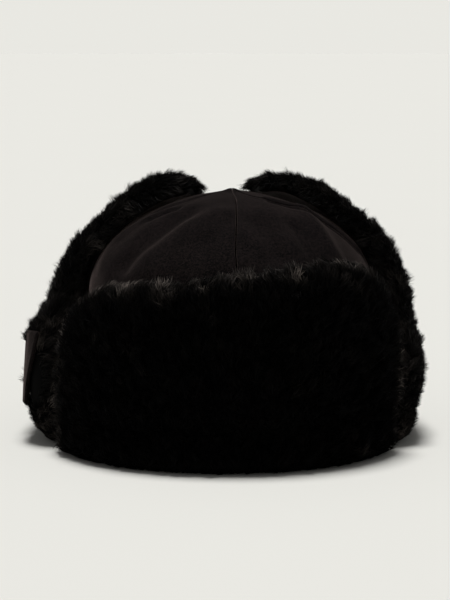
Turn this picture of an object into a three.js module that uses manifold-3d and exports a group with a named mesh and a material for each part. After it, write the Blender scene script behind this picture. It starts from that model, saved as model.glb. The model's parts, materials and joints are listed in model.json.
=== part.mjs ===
// A trapper hat of black wool with deep faux fur on its turned-up flaps, standing by itself.
// Millimetres, +Z up. The front faces -Y. Left (-X) and right (+X) are those of someone looking at the front.
import * as THREE from "three";
import { mergeVertices } from "three/addons/utils/BufferGeometryUtils.js";
import Module from "manifold-3d";

// Crown
const CROWN_HALF_WIDTH = 92;
const CROWN_HALF_DEPTH = 102;
const CROWN_SQUARENESS = 2.2;
const RIM_Z = 12;
const SHOULDER_Z = 95;
const APEX_Z = 158;
const DOME_POWER = 1.8;
const RIM_FLARE = 0.03;
const CROWN_WALL = 3;
const CROWN_LEAN = 4.5;
const LEAN_FULL_Z = 120;
const CROWN_COLUMNS = 40;
const SEAM_GAP = 0.4;
const SEAM_REACH_Z = 178;

// Flaps
const CLOTH = 2.5;
const SEAT_GAP = 0.8;
const FUR_SEAT = 2 * SEAT_GAP + CLOTH;
const CLOTH_FOOT_Z = 12.5;
const CLOTH_INSET = 4;
const EAR_CLOTH_INSET = 7;
const CLOTH_INSET_ANGLE = 2.4;
const FOLD_TOP_Z = 16;
const EDGE_PILE = 0.8;
const EDGE_REACH = 0.14;
const LEVEL_SPACING = 0.9;
const NECK_FROM_ANGLE = 131.5;
const EAR_COLUMNS = 9;

// Locks of fur: the longest and shortest rise, lean and drift of a lock's tip, and its least height
const LOCK_RISE = [4.5, 8.4];
const LOCK_LEAN = [1.5, 6];
const LOCK_DRIFT = [-3, 3];
const LOCK_LEAST_Z = 1;

// Rays that find the crown's face: the height that they start from, how far they reach, and their halvings
const RAY_CENTRE_Z = 60;
const RAY_REACH = 200;
const RAY_HALVINGS = 40;

const WOOL = { color: 0x211e1e, roughness: 0.95, metalness: 0 };
const FUR = { color: 0x0b0a0a, roughness: 0.9, metalness: 0 };

// Heights of the crown wall's rings below the shoulder, and the steps of the dome above it in degrees
const WALL_RINGS = [RIM_Z, 40, 68, SHOULDER_Z];
const DOME_STEPS = [11, 22, 33, 44, 55, 66, 77, 85];

// Seams of the four crown panels in plan, each from the apex outwards
const SEAMS = [
  { name: "front", line: [[4.5, 0], [7, -25], [7, -60], [6.5, -85], [9, -125]] },
  { name: "right", line: [[4.5, 0], [16, -13], [30, -21], [48, -24], [60, -24], [75, -21], [120, -17]] },
  { name: "back", line: [[4.5, 0], [4.5, 125]] },
  { name: "left", line: [[4.5, 0], [-13, -11], [-26, -17], [-40, -21], [-56, -21], [-75, -18], [-115, -13]] },
];

// Soft folds of the crown's front: each a ridge (positive height) or a dent along a line in x and y
const CROWN_FOLDS = [
  { from: [-9, -54], to: [-46, -81], width: 7, height: 2.6 },
  { from: [-25, -40], to: [-62, -70], width: 10, height: -3.4 },
  { from: [49, -27], to: [68, -62], width: 6, height: 2.2 },
  { from: [21, -66], to: [26, -86], width: 9, height: -2.8 },
  { from: [-54, -24], to: [-80, -40], width: 7, height: 1.4 },
];

// Where the folds fade in: from a height upwards, and from a depth forwards
const FOLD_FADE = { fromZ: 104, overZ: 12, fromY: 4, overY: 14 };

// Section of the turned bottom fold, on its skin and on its fur side: distance out of the crown and height
const FOLD_SECTION = [
  { skinOut: -3.4, skinZ: 11.2, furOut: -6.5, furZ: 9 },
  { skinOut: -1, skinZ: 11.2, furOut: -5, furZ: 2.5 },
  { skinOut: 1, skinZ: 11.2, furOut: 0, furZ: 0 },
  { skinOut: 2.6, skinZ: 11.2, furOut: 13, furZ: 0 },
  { skinOut: FUR_SEAT, skinZ: 11.2, furOut: 22, furZ: 4 },
];
const FLAT_FOLD_ROWS = 3;

// Top of the front flap by azimuth from the front, with the right side standing higher
const FRONT_TOP = [
  { azimuth: -60, top: 84 },
  { azimuth: -54, top: 96 },
  { azimuth: -42, top: 102 },
  { azimuth: -20, top: 106 },
  { azimuth: 5, top: 111 },
  { azimuth: 40, top: 115 },
  { azimuth: 52, top: 111 },
  { azimuth: 60, top: 86 },
];
const WALL_PILE = [
  { share: 0, out: 20 },
  { share: 0.2, out: 22.5 },
  { share: 0.5, out: 22.5 },
  { share: 0.75, out: 20 },
  { share: 0.92, out: 14 },
  { share: 1, out: 8 },
];
const NECK_TOP = [
  { azimuth: NECK_FROM_ANGLE, top: 98 },
  { azimuth: 150, top: 104 },
  { azimuth: 210, top: 104 },
  { azimuth: 360 - NECK_FROM_ANGLE, top: 98 },
];
const WALL_FLAPS = [
  { name: "front_flap", topTable: FRONT_TOP, columns: 24, levels: 8, seed: 3 },
  { name: "neck_flap", topTable: NECK_TOP, columns: 16, levels: 6, seed: 11 },
];

const LEFT = -1;
const RIGHT = 1;
const EAR_SEEDS = { left: 23, right: 37 };

// Ear flaps, a row for each level: its height on the wall or its slope angle over the dome, the flap's front
// and back edges, the distance from the crown out to the roots of the outer locks, how far it stands off the
// crown, and how much fuller it is at its lower front corner
const EAR_LEFT = [
  { z: FOLD_TOP_Z, front: -41, back: 62, out: 26, stand: 0, corner: 3 },
  { z: 30, front: -41, back: 62, out: 28.5, stand: 0, corner: 6 },
  { z: 45, front: -41, back: 62, out: 29.5, stand: 0, corner: 6 },
  { z: 60, front: -41, back: 62, out: 29, stand: 0, corner: 6.5 },
  { slope: 6, front: -39, back: 62, out: 27, stand: 0, corner: 3 },
  { slope: 13, front: -27, back: 62, out: 22, stand: 0.2, corner: 0 },
  { slope: 22, front: -16, back: 62, out: 17.5, stand: 0.5, corner: 0 },
  { slope: 31, front: -13, back: 63, out: 13.5, stand: 0.5, corner: 0 },
  { slope: 40, front: -12, back: 65, out: 11, stand: 0.3, corner: 0 },
  { slope: 49, front: -11, back: 66, out: 11, stand: 0.5, corner: 0 },
  { slope: 58, front: -8, back: 66, out: 12.5, stand: 1, corner: 0 },
  { slope: 67, front: -1, back: 62, out: 12.5, stand: 1.6, corner: 0 },
  { slope: 77, front: 16, back: 50, out: 6.5, stand: 1.4, corner: 0 },
];
const EAR_RIGHT = [
  { z: FOLD_TOP_Z, front: -43, back: 62, out: 23.5, stand: 0, corner: 0 },
  { z: 30, front: -43, back: 62, out: 26.5, stand: 0, corner: 0 },
  { z: 45, front: -43, back: 62, out: 27.5, stand: 0, corner: 0 },
  { z: 60, front: -42, back: 62, out: 26.5, stand: 0, corner: 0 },
  { slope: 6, front: -39, back: 62, out: 22, stand: 0, corner: 0 },
  { slope: 14, front: -26, back: 62, out: 20.5, stand: 0.2, corner: 0 },
  { slope: 23, front: -16, back: 62, out: 17, stand: 0.5, corner: 0 },
  { slope: 32, front: -13, back: 63, out: 13.5, stand: 0.5, corner: 0 },
  { slope: 41, front: -11, back: 65, out: 11, stand: 0.3, corner: 0 },
  { slope: 50, front: -6, back: 66, out: 10.5, stand: 0.6, corner: 0 },
  { slope: 60, front: 2, back: 66, out: 10.5, stand: 2.5, corner: 0 },
  { slope: 71, front: 12, back: 61, out: 7.5, stand: 3.2, corner: 0 },
  { slope: 80.5, front: 24, back: 48, out: 6.5, stand: 1.2, corner: 0 },
];

// The wool that shows on the left ear flap's lower front corner: its path in plan, back along the flap's
// outer face, and its levels, each with how far its front edge leads and tucks in towards the crown, and
// how far its back edge is cut short and drops
const CORNER_PATH = [
  { along: -32, out: 36 },
  { along: -26, out: 36.4 },
  { along: -18, out: 36.4 },
  { along: -10, out: 36 },
  { along: -1, out: 35.2 },
  { along: 8, out: 34.2 },
];
const CORNER_LEVELS = [
  { z: 25, lead: 0, tuck: 0, cut: 20, drop: 0 },
  { z: 35, lead: 0, tuck: 0, cut: 12, drop: 0 },
  { z: 46, lead: 2, tuck: 0.5, cut: 5, drop: 2 },
  { z: 58, lead: 5, tuck: 1.5, cut: 0, drop: 4 },
  { z: 69, lead: 6, tuck: 4, cut: 0, drop: 6 },
];
const LEAD_FADE = 3;
const TUCK_FADE = 8;

// Rows and columns of the left ear flap's fur that lie pressed under its turned corner
const CORNER_COVER = { rows: 4, columns: 5 };

// Fuller lower front corner of the ear flaps: its fading over the width, and its pile at the front edge
const CORNER_FADE = { at: 1.7, by: 3 };
const CORNER_EDGE = { share: 0.9, reach: 0.1, upTo: 0.5 };

const clamp = (value, low, high) => Math.min(high, Math.max(low, value));
const radians = THREE.MathUtils.degToRad;
const mix = THREE.MathUtils.lerp;

// A repeatable number from 0 to 1 for a pair of counts
function scatter(a, b) {
  const wave = Math.sin(a * 127.1 + b * 311.7 + 17.3) * 43758.5453;
  return wave - Math.floor(wave);
}

// A value from a short table, read along straight lines between its rows
function fromTable(rows, key, column, at) {
  const last = rows.length - 1;
  if (at <= rows[0][key]) return rows[0][column];
  if (at >= rows[last][key]) return rows[last][column];
  const next = rows.findIndex((row) => row[key] > at);
  const [a, b] = [rows[next - 1], rows[next]];
  return mix(a[column], b[column], (at - a[key]) / (b[key] - a[key]));
}

const leanAt = (z) => CROWN_LEAN * clamp(z / LEAN_FULL_Z, 0, 1);

// Width of the crown's section at a height, as a share of its width at the shoulder
function sectionShare(z) {
  const below = Math.max(SHOULDER_Z - z, 0) / (SHOULDER_Z - RIM_Z);
  const above = Math.max(z - SHOULDER_Z, 0) / (APEX_Z - SHOULDER_Z);
  return Math.max(1 + DOME_POWER * RIM_FLARE * below - above ** 2, 0) ** (1 / DOME_POWER);
}

// Zero on the crown's outer face, negative inside it
function crownLevel(p) {
  const wide = Math.abs(p.x - leanAt(p.z)) / CROWN_HALF_WIDTH;
  const deep = Math.abs(p.y) / CROWN_HALF_DEPTH;
  const share = (wide ** CROWN_SQUARENESS + deep ** CROWN_SQUARENESS) ** (1 / CROWN_SQUARENESS);
  const below = Math.max(SHOULDER_Z - p.z, 0) / (SHOULDER_Z - RIM_Z);
  const above = Math.max(p.z - SHOULDER_Z, 0) / (APEX_Z - SHOULDER_Z);
  return share ** DOME_POWER + above ** 2 - 1 - DOME_POWER * RIM_FLARE * below;
}

// The crown's outward direction at a point
function crownNormal(p) {
  const step = 0.05;
  const rise = (axis) => {
    const ahead = p.clone();
    const behind = p.clone();
    ahead[axis] += step;
    behind[axis] -= step;
    return crownLevel(ahead) - crownLevel(behind);
  };
  return new THREE.Vector3(rise("x"), rise("y"), rise("z")).normalize();
}

// Where a ray from inside leaves the crown's outer face
function crownHit(origin, direction) {
  let near = 0;
  let far = RAY_REACH;
  for (let turn = 0; turn < RAY_HALVINGS; turn += 1) {
    const middle = (near + far) / 2;
    const outside = crownLevel(origin.clone().addScaledVector(direction, middle)) > 0;
    [near, far] = outside ? [near, middle] : [middle, far];
  }
  return origin.clone().addScaledVector(direction, near);
}

// The crown's outer face at an azimuth from the front (towards +X) and a height
function wallPoint(azimuth, z) {
  const [side, ahead] = [Math.sin(radians(azimuth)), Math.cos(radians(azimuth))];
  const span =
    (Math.abs(side) / CROWN_HALF_WIDTH) ** CROWN_SQUARENESS +
    (Math.abs(ahead) / CROWN_HALF_DEPTH) ** CROWN_SQUARENESS;
  const radius = sectionShare(z) / span ** (1 / CROWN_SQUARENESS);
  return new THREE.Vector3(leanAt(z) + radius * side, -radius * ahead, z);
}

// The crown's outer face on one side (-1 left, 1 right) at a depth y and a level row
function sidePoint(side, y, level) {
  if (level.z !== undefined) {
    const deep = (Math.abs(y) / CROWN_HALF_DEPTH) ** CROWN_SQUARENESS;
    const wide = sectionShare(level.z) ** CROWN_SQUARENESS - deep;
    const x = leanAt(level.z) + side * CROWN_HALF_WIDTH * wide ** (1 / CROWN_SQUARENESS);
    return new THREE.Vector3(x, y, level.z);
  }
  const slope = radians(level.slope);
  const origin = new THREE.Vector3(leanAt(RAY_CENTRE_Z), y, RAY_CENTRE_Z);
  return crownHit(origin, new THREE.Vector3(side * Math.cos(slope), 0, Math.sin(slope)));
}

// How far the crown's cloth stands proud or sinks at a point of its upper front
function foldRelief(p) {
  const { fromZ, overZ, fromY, overY } = FOLD_FADE;
  const fade = clamp((p.z - fromZ) / overZ, 0, 1) * clamp((fromY - p.y) / overY, 0, 1);
  return CROWN_FOLDS.reduce((sum, fold) => {
    const [ax, ay] = fold.from;
    const [bx, by] = [fold.to[0] - ax, fold.to[1] - ay];
    const along = clamp(((p.x - ax) * bx + (p.y - ay) * by) / (bx * bx + by * by), 0, 1);
    const away = Math.hypot(p.x - ax - bx * along, p.y - ay - by * along);
    return sum + fade * fold.height * Math.exp(-((away / fold.width) ** 2));
  }, 0);
}

// A geometry from points and faces, turned so that its faces look out
function closedGeometry(points, faces) {
  const volume = faces.reduce((sum, [a, b, c]) => {
    return sum + points[a].dot(points[b].clone().cross(points[c])) / 6;
  }, 0);
  const geometry = new THREE.BufferGeometry();
  const flat = points.flatMap((p) => [p.x, p.y, p.z]);
  geometry.setAttribute("position", new THREE.Float32BufferAttribute(flat, 3));
  geometry.setIndex(faces.flatMap(([a, b, c]) => (volume < 0 ? [a, c, b] : [a, b, c])));
  return geometry;
}

// A closed pad between two equal grids of points, with a lock of fur raised on each outer cell that has a tip
function closedPad(outer, inner, tips) {
  const rows = outer.length - 1;
  const cols = outer[0].length - 1;
  const points = [...outer.flat(), ...inner.flat()];
  const faces = [];
  const top = (i, j) => i * (cols + 1) + j;
  const under = (i, j) => (rows + 1) * (cols + 1) + top(i, j);
  const quad = (a, b, c, d) => faces.push([a, b, c], [a, c, d]);
  for (let i = 0; i < rows; i += 1) {
    for (let j = 0; j < cols; j += 1) {
      const ring = [top(i, j), top(i, j + 1), top(i + 1, j + 1), top(i + 1, j)];
      const tip = tips && tips[i][j];
      if (tip) {
        points.push(tip);
        ring.forEach((a, k) => faces.push([a, ring[(k + 1) % 4], points.length - 1]));
      } else {
        quad(...ring);
      }
      quad(under(i, j), under(i + 1, j), under(i + 1, j + 1), under(i, j + 1));
    }
    quad(top(i, 0), top(i + 1, 0), under(i + 1, 0), under(i, 0));
    quad(top(i + 1, cols), top(i, cols), under(i, cols), under(i + 1, cols));
  }
  for (let j = 0; j < cols; j += 1) {
    quad(top(0, j + 1), top(0, j), under(0, j), under(0, j + 1));
    quad(top(rows, j), top(rows, j + 1), under(rows, j + 1), under(rows, j));
  }
  return closedGeometry(points, faces);
}

// The crown as one shell open at the rim, its apex a single point inside and out
function crownShell() {
  const domeZ = (step) => SHOULDER_Z + (APEX_Z - SHOULDER_Z) * Math.sin(radians(step));
  const heights = [...WALL_RINGS, ...DOME_STEPS.map(domeZ)];
  const faces = [];
  const grids = [0, -CROWN_WALL].map((offset) => {
    const rings = heights.map((z) =>
      Array.from({ length: CROWN_COLUMNS }, (_, k) => {
        const p = wallPoint(((k + 0.5) * 360) / CROWN_COLUMNS, z);
        const normal = crownNormal(p);
        return p.addScaledVector(normal, offset + foldRelief(p));
      }),
    );
    return [...rings.flat(), new THREE.Vector3(CROWN_LEAN, 0, APEX_Z + offset)];
  });
  const size = grids[0].length;
  const apex = size - 1;
  const at = (i, k) => i * CROWN_COLUMNS + (k % CROWN_COLUMNS);
  const last = heights.length - 1;
  for (let k = 0; k < CROWN_COLUMNS; k += 1) {
    for (let i = 0; i < last; i += 1) {
      const [a, b, c, d] = [at(i, k), at(i, k + 1), at(i + 1, k + 1), at(i + 1, k)];
      faces.push([a, b, c], [a, c, d]);
      faces.push([size + a, size + c, size + b], [size + a, size + d, size + c]);
    }
    faces.push([at(last, k), at(last, k + 1), apex]);
    faces.push([size + at(last, k + 1), size + at(last, k), size + apex]);
    const [a, b] = [at(0, k), at(0, k + 1)];
    faces.push([b, a, size + a], [b, size + a, size + b]);
  }
  return closedGeometry(grids.flat(), faces);
}

// A thin upright curtain along a seam's line in plan, as wide as the gap between two panels
function seamCurtain({ line }) {
  const points = line.map(([x, y]) => new THREE.Vector2(x, y));
  const across = points.map((p, k) => {
    const before = points[Math.max(k - 1, 0)];
    const after = points[Math.min(k + 1, points.length - 1)];
    const run = after.clone().sub(before).normalize();
    return new THREE.Vector2(-run.y, run.x).multiplyScalar(SEAM_GAP / 2);
  });
  const leftSide = points.map((p, k) => p.clone().add(across[k]));
  const rightSide = points.map((p, k) => p.clone().sub(across[k])).reverse();
  const shape = new THREE.Shape([...leftSide, ...rightSide]);
  return new THREE.ExtrudeGeometry(shape, { depth: SEAM_REACH_Z, bevelEnabled: false });
}

const wasm = await Module();
wasm.setup();

// A closed geometry as a solid for cutting
function solidOf(geometry) {
  const bare = geometry.clone();
  ["normal", "uv"].forEach((name) => bare.deleteAttribute(name));
  const merged = mergeVertices(bare, 1e-4);
  return new wasm.Manifold(
    new wasm.Mesh({
      numProp: 3,
      vertProperties: new Float32Array(merged.attributes.position.array),
      triVerts: new Uint32Array(merged.index.array),
    }),
  );
}

// A solid's surface as a geometry
function geometryOf(solid) {
  const { vertProperties, triVerts } = solid.getMesh();
  const geometry = new THREE.BufferGeometry();
  geometry.setAttribute("position", new THREE.BufferAttribute(vertProperties, 3));
  geometry.setIndex(new THREE.BufferAttribute(triVerts, 1));
  return geometry;
}

function namedMesh(name, geometry, finish) {
  geometry.computeVertexNormals();
  const mesh = new THREE.Mesh(geometry, new THREE.MeshStandardMaterial(finish));
  mesh.name = name;
  return mesh;
}

// The four crown panels, parted along the seams and named by where each one lies
function crownPanels() {
  const cut = SEAMS.map((seam) => solidOf(seamCurtain(seam))).reduce((all, one) => all.add(one));
  const panels = solidOf(crownShell()).subtract(cut).decompose();
  return panels.map((panel) => {
    const { min, max } = panel.boundingBox();
    const depth = min[1] + max[1] < 0 ? "front" : "back";
    const side = min[0] + max[0] < 2 * CROWN_LEAN ? "left" : "right";
    return namedMesh(`crown_${depth}_${side}`, geometryOf(panel), WOOL);
  });
}

// Tips of the locks on the cells of a fur face from one row up, leaning the way the rows run
function lockTips(outer, inner, firstRow, seed, isBare) {
  return outer.slice(0, -1).map((row, i) =>
    row.slice(0, -1).map((_, j) => {
      if (i < firstRow || (isBare && isBare(i, j))) return null;
      const corners = [outer[i][j], outer[i][j + 1], outer[i + 1][j + 1], outer[i + 1][j]];
      const roots = [inner[i][j], inner[i][j + 1], inner[i + 1][j + 1], inner[i + 1][j]];
      const middle = new THREE.Vector3();
      const root = new THREE.Vector3();
      corners.forEach((p) => middle.addScaledVector(p, 0.25));
      roots.forEach((p) => root.addScaledVector(p, 0.25));
      const outwards = middle.clone().sub(root).normalize();
      const lay = corners[3].clone().add(corners[2]).sub(corners[0]).sub(corners[1]).normalize();
      const across = outwards.clone().cross(lay).normalize();
      middle.addScaledVector(outwards, mix(...LOCK_RISE, scatter(i + seed, j)));
      middle.addScaledVector(lay, mix(...LOCK_LEAN, scatter(j, i + seed)));
      middle.addScaledVector(across, mix(...LOCK_DRIFT, scatter(i + seed, 2 * j + seed)));
      middle.z = Math.max(middle.z, LOCK_LEAST_Z);
      return middle;
    }),
  );
}

// Rows of skin and fur points for the turned bottom fold, under wall points of the rim
function foldRows(rimPoints) {
  return FOLD_SECTION.map((row) => {
    const place = (out, z) =>
      rimPoints.map((p) => {
        const away = crownNormal(p).setZ(0).normalize();
        return p.clone().addScaledVector(away, out).setZ(z);
      });
    return { fur: place(row.furOut, row.furZ), skin: place(row.skinOut, row.skinZ) };
  });
}

// Share of the full pile at a place across a flap, lower at its two side edges
const edgeShare = (across) => mix(EDGE_PILE, 1, clamp(Math.min(across, 1 - across) / EDGE_REACH, 0, 1));

// A flap that lies on the wall between two azimuths, with its cloth and its fur
function wallFlap({ name, topTable, columns, levels, seed }) {
  const placesFor = (insetAngle, insetTop) =>
    Array.from({ length: columns + 1 }, (_, j) => {
      const from = topTable[0].azimuth + insetAngle;
      const to = topTable[topTable.length - 1].azimuth - insetAngle;
      const azimuth = mix(from, to, j / columns);
      const top = fromTable(topTable, "azimuth", "top", azimuth) - insetTop;
      return { azimuth, across: j / columns, top };
    });
  const layer = (places, low, share, out) =>
    places.map((place) => {
      const p = wallPoint(place.azimuth, mix(low, place.top, share));
      return p.clone().addScaledVector(crownNormal(p), out(place));
    });
  const furPlaces = placesFor(0, 0);
  const clothPlaces = placesFor(CLOTH_INSET_ANGLE, CLOTH_INSET);
  const shares = Array.from({ length: levels + 1 }, (_, i) => (i / levels) ** LEVEL_SPACING);
  const clothRows = (out) => shares.map((share) => layer(clothPlaces, CLOTH_FOOT_Z, share, () => out));
  const furRow = (share, out) => layer(furPlaces, FOLD_TOP_Z, share, out);
  const pileAt = (share) => fromTable(WALL_PILE, "share", "out", share);
  const fold = foldRows(furPlaces.map((place) => wallPoint(place.azimuth, RIM_Z)));
  const outer = [
    ...fold.map((row) => row.fur),
    ...shares.map((share) => furRow(share, (place) => pileAt(share) * edgeShare(place.across))),
  ];
  const inner = [...fold.map((row) => row.skin), ...shares.map((share) => furRow(share, () => FUR_SEAT))];
  const cloth = closedPad(clothRows(SEAT_GAP + CLOTH), clothRows(SEAT_GAP));
  const fur = closedPad(outer, inner, lockTips(outer, inner, FLAT_FOLD_ROWS, seed));
  return [namedMesh(`${name}_backing`, cloth, WOOL), namedMesh(`${name}_fur`, fur, FUR)];
}

// An ear flap that runs from the bottom fold up the side and over the dome
function earFlap(name, side, levels, seed, isBare) {
  const layer = (level, out) =>
    Array.from({ length: EAR_COLUMNS + 1 }, (_, j) => {
      const across = j / EAR_COLUMNS;
      const p = sidePoint(side, mix(level.front, level.back, across), level);
      return p.clone().addScaledVector(crownNormal(p), level.stand + out(level, across));
    });
  const seat = () => SEAT_GAP;
  const face = () => SEAT_GAP + CLOTH;
  const skin = () => FUR_SEAT;
  const pile = (level, across) => {
    const atCorner = level.corner > 0 && across < CORNER_EDGE.upTo;
    const cornerShare = mix(CORNER_EDGE.share, 1, clamp(across / CORNER_EDGE.reach, 0, 1));
    const fuller = level.corner * clamp(CORNER_FADE.at - CORNER_FADE.by * across, 0, 1);
    return level.out * (atCorner ? cornerShare : edgeShare(across)) + fuller;
  };
  const foot = { ...levels[0], z: RIM_Z };
  const clothLevels = levels.map((level) => {
    return { ...level, front: level.front + EAR_CLOTH_INSET, back: level.back - EAR_CLOTH_INSET };
  });
  clothLevels[0].z = CLOTH_FOOT_Z;
  clothLevels[clothLevels.length - 1].slope -= CLOTH_INSET_ANGLE;
  const fold = foldRows(layer(foot, () => 0));
  const outer = [...fold.map((row) => row.fur), ...levels.map((level) => layer(level, pile))];
  const inner = [...fold.map((row) => row.skin), ...levels.map((level) => layer(level, skin))];
  const cloth = closedPad(
    clothLevels.map((level) => layer(level, face)),
    clothLevels.map((level) => layer(level, seat)),
  );
  const tips = lockTips(outer, inner, FLAT_FOLD_ROWS, seed, isBare);
  const fur = closedPad(outer, inner, tips);
  return [namedMesh(`${name}_backing`, cloth, WOOL), namedMesh(`${name}_fur`, fur, FUR)];
}

// The wool of the left ear flap's lower front corner, turned to the outside
function turnedCorner() {
  const start = CORNER_PATH[0].along;
  const run = CORNER_PATH[CORNER_PATH.length - 1].along - start;
  const place = (level, station, extra) => {
    const share = (station.along - start) / run;
    const along = station.along - level.cut * share - level.lead * (1 - share) ** LEAD_FADE;
    const out = station.out - level.tuck * (1 - share) ** TUCK_FADE;
    const p = sidePoint(LEFT, along, { z: level.z - level.drop * share });
    const away = crownNormal(p).setZ(0).normalize();
    return p.addScaledVector(away, out + extra);
  };
  const grid = (extra) =>
    CORNER_LEVELS.map((level) => CORNER_PATH.map((station) => place(level, station, extra)));
  return namedMesh("ear_flap_left_turned_corner", closedPad(grid(CLOTH), grid(0)), WOOL);
}

// The cells of the left ear flap's fur that lie pressed under its turned corner
function underCorner(row, column) {
  const above = row - FOLD_SECTION.length;
  return above >= 0 && above < CORNER_COVER.rows && column < CORNER_COVER.columns;
}

const hat = new THREE.Group();
hat.add(...crownPanels());
WALL_FLAPS.forEach((flap) => hat.add(...wallFlap(flap)));
hat.add(...earFlap("ear_flap_left", LEFT, EAR_LEFT, EAR_SEEDS.left, underCorner));
hat.add(...earFlap("ear_flap_right", RIGHT, EAR_RIGHT, EAR_SEEDS.right));
hat.add(turnedCorner());

export default hat;
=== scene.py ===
"""A trapper hat of black wool, with deep faux fur on its turned-up flaps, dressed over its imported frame.

Shapes are worked out in millimetres in the frame's own axes and made in metres. The front faces -Y, +Z is up,
and left (-X) and right (+X) are those of someone who looks at the front.
"""

import json
import logging
import math
from collections.abc import Callable
from dataclasses import dataclass, field, replace
from enum import Enum

import bpy
import numpy as np
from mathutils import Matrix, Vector
from mathutils.kdtree import KDTree

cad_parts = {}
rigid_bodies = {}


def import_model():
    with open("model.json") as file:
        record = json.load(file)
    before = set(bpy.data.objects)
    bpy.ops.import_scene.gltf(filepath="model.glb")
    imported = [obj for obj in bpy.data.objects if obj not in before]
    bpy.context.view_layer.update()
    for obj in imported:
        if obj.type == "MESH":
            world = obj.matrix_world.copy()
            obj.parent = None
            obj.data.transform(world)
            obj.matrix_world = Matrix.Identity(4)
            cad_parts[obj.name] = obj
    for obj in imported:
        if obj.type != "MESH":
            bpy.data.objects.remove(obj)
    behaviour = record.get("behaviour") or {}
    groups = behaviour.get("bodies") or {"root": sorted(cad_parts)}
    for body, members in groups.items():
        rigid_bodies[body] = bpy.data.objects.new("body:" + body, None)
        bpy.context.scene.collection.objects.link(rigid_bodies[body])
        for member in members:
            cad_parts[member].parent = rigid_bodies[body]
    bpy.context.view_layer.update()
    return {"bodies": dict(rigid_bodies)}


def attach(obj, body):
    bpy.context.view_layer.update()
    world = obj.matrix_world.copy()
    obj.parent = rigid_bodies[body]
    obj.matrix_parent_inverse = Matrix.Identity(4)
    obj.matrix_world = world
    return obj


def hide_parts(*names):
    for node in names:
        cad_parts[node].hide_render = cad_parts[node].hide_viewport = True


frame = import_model()

MM = 0.001
BODY = next(iter(frame["bodies"]))
# The least length that a direction is divided by, and how often a stretch is halved to find where it
# leaves a shape.
LEAST_LENGTH = 1e-9
HALVINGS = 40
# The least share of its radius that an edge counts from, so that it keeps some thickness.
LEAST_EDGE = 0.002
# A hair's strip: its triangles, the side that each point lies on, and how far along the hair it is.
HAIR_FACES = ((0, 1, 3), (0, 3, 2), (2, 3, 4))
HAIR_SIDES = (-1.0, 1.0, -1.0, 1.0, 0.0)
HAIR_ALONG = (0.0, 0.0, 0.5, 0.5, 1.0)
log = logging.getLogger("trapper_hat")


class Side(Enum):
    """The side of the hat that a flap lies on, as the sign of its x."""

    LEFT = -1.0
    RIGHT = 1.0


class Slot(Enum):
    """The material slots of the frame's record."""

    WOOL = "wool"
    FUR = "fur"


def eased(knots: np.ndarray, values: np.ndarray, at: np.ndarray) -> np.ndarray:
    """Reads values between knots along a smooth curve that never overshoots them.

    Args:
        knots: Rising positions, one for each row of values.
        values: Values at the knots, in rows of any shape.
        at: Positions to read at.

    Returns:
        One row of values for each position.
    """
    knots = np.asarray(knots, float)
    values = np.asarray(values, float)
    at = np.clip(np.asarray(at, float), knots[0], knots[-1])
    deep = (-1,) + (1,) * (values.ndim - 1)
    gaps = np.diff(knots)
    slopes = np.diff(values, axis=0) / gaps.reshape(deep)
    before, after = slopes[:-1], slopes[1:]
    near = (2 * gaps[1:] + gaps[:-1]).reshape(deep)
    far = (gaps[1:] + 2 * gaps[:-1]).reshape(deep)
    same_way = before * after > 0
    safe_before = np.where(same_way, before, 1.0)
    safe_after = np.where(same_way, after, 1.0)
    bends = np.where(same_way, (near + far) / (near / safe_before + far / safe_after), 0.0)
    tangents = np.concatenate([slopes[:1], bends, slopes[-1:]])
    row = np.clip(np.searchsorted(knots, at, side="right") - 1, 0, len(gaps) - 1)
    gap = gaps[row].reshape(deep)
    s = ((at - knots[row]) / gaps[row]).reshape(deep)
    start, end = values[row], values[row + 1]
    leave, reach = tangents[row] * gap, tangents[row + 1] * gap
    rise = s * s * (3 - 2 * s)
    return start + (end - start) * rise + s * (1 - s) * ((1 - s) * leave - s * reach)


def unit(vectors: np.ndarray) -> np.ndarray:
    """The vectors at length 1, along their last axis."""
    return vectors / np.maximum(np.linalg.norm(vectors, axis=-1, keepdims=True), LEAST_LENGTH)


def places(count: int, gather: float) -> np.ndarray:
    """Rising places from 0 to 1, closer together at both ends.

    Args:
        count: How many places.
        gather: 0 for even places, 1 for the closest ends.

    Returns:
        The places.
    """
    even = np.linspace(0, 1, count)
    return (1 - gather) * even + gather * (0.5 - 0.5 * np.cos(np.pi * even))


def crossing(
    outside: Callable[[np.ndarray], np.ndarray], far: np.ndarray
) -> tuple[np.ndarray, np.ndarray]:
    """Finds how long runs can be before they leave a shape, by halving what is left.

    Args:
        outside: Says for each length of run whether its end is outside.
        far: Lengths that end outside.

    Returns:
        The longest lengths that end inside, and the shortest that end outside.
    """
    near = np.zeros_like(far)
    for _ in range(HALVINGS):
        middle = (near + far) / 2
        left = outside(middle)
        near, far = np.where(left, near, middle), np.where(left, middle, far)
    return near, far


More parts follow.
